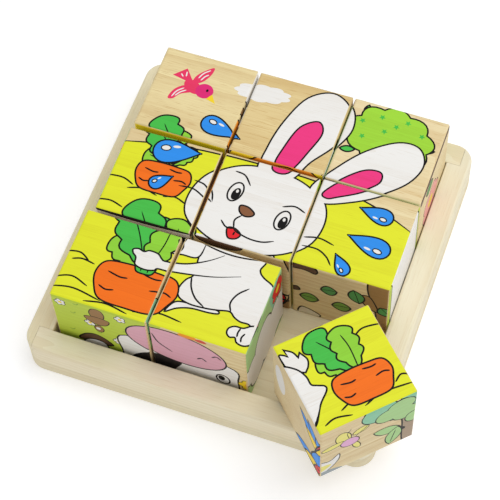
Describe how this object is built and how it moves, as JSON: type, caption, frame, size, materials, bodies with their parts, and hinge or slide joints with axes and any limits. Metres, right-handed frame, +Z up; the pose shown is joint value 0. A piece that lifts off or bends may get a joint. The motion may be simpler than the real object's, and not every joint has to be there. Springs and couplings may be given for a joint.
{
  "type": "wooden cube picture puzzle",
  "caption": "Square wooden tray with low rails holding a block of rounded picture cubes, with one cube turned and set across a corner of the rails.",
  "frame": {"origin": "centre of the tray's underside, in the plane that it stands on", "axes": "+Z up, +X to the right and +Y to the back, seen from the side where the cube is perched at the front right corner"},
  "size_m": [0.1499, 0.1519, 0.055],
  "materials": {
    "base_wood": "sanded, unvarnished",
    "rail_wood": "sanded, unvarnished",
    "cube_wood": "sanded, with pictures printed straight on the wood",
    "print_ink": "thin satin printing ink"
  },
  "bodies": {
    "tray": {"base_board": "base_wood", "rail_front": "rail_wood", "rail_back": "rail_wood", "rail_left": "rail_wood", "rail_right": "rail_wood"},
    "cube_back_left": {"cube_back_left": "cube_wood"},
    "cube_back_middle": {"cube_back_middle": "cube_wood"},
    "cube_back_right": {"cube_back_right": "cube_wood"},
    "cube_middle_left": {"cube_middle_left": "cube_wood"},
    "cube_centre": {"cube_centre": "cube_wood"},
    "cube_middle_right": {"cube_middle_right": "cube_wood"},
    "cube_front_left": {"cube_front_left": "cube_wood"},
    "cube_front_middle": {"cube_front_middle": "cube_wood"},
    "cube_perched": {"cube_perched": "cube_wood"}
  },
  "joints": [
    {"name": "lift_back_left", "type": "slide", "parent": "tray", "child": "cube_back_left", "axis": [0, 0, 1], "range_m": [0, 0.045]},
    {"name": "lift_back_middle", "type": "slide", "parent": "tray", "child": "cube_back_middle", "axis": [0, 0, 1], "range_m": [0, 0.045]},
    {"name": "lift_back_right", "type": "slide", "parent": "tray", "child": "cube_back_right", "axis": [0, 0, 1], "range_m": [0, 0.045]},
    {"name": "lift_middle_left", "type": "slide", "parent": "tray", "child": "cube_middle_left", "axis": [0, 0, 1], "range_m": [0, 0.045]},
    {"name": "lift_centre", "type": "slide", "parent": "tray", "child": "cube_centre", "axis": [0, 0, 1], "range_m": [0, 0.045]},
    {"name": "lift_middle_right", "type": "slide", "parent": "tray", "child": "cube_middle_right", "axis": [0, 0, 1], "range_m": [0, 0.045]},
    {"name": "lift_front_left", "type": "slide", "parent": "tray", "child": "cube_front_left", "axis": [0, 0, 1], "range_m": [0, 0.045]},
    {"name": "lift_front_middle", "type": "slide", "parent": "tray", "child": "cube_front_middle", "axis": [0, 0, 1], "range_m": [0, 0.045]},
    {"name": "lift_perched", "type": "slide", "parent": "tray", "child": "cube_perched", "axis": [0, 0, 1], "range_m": [0, 0.045]}
  ]
}
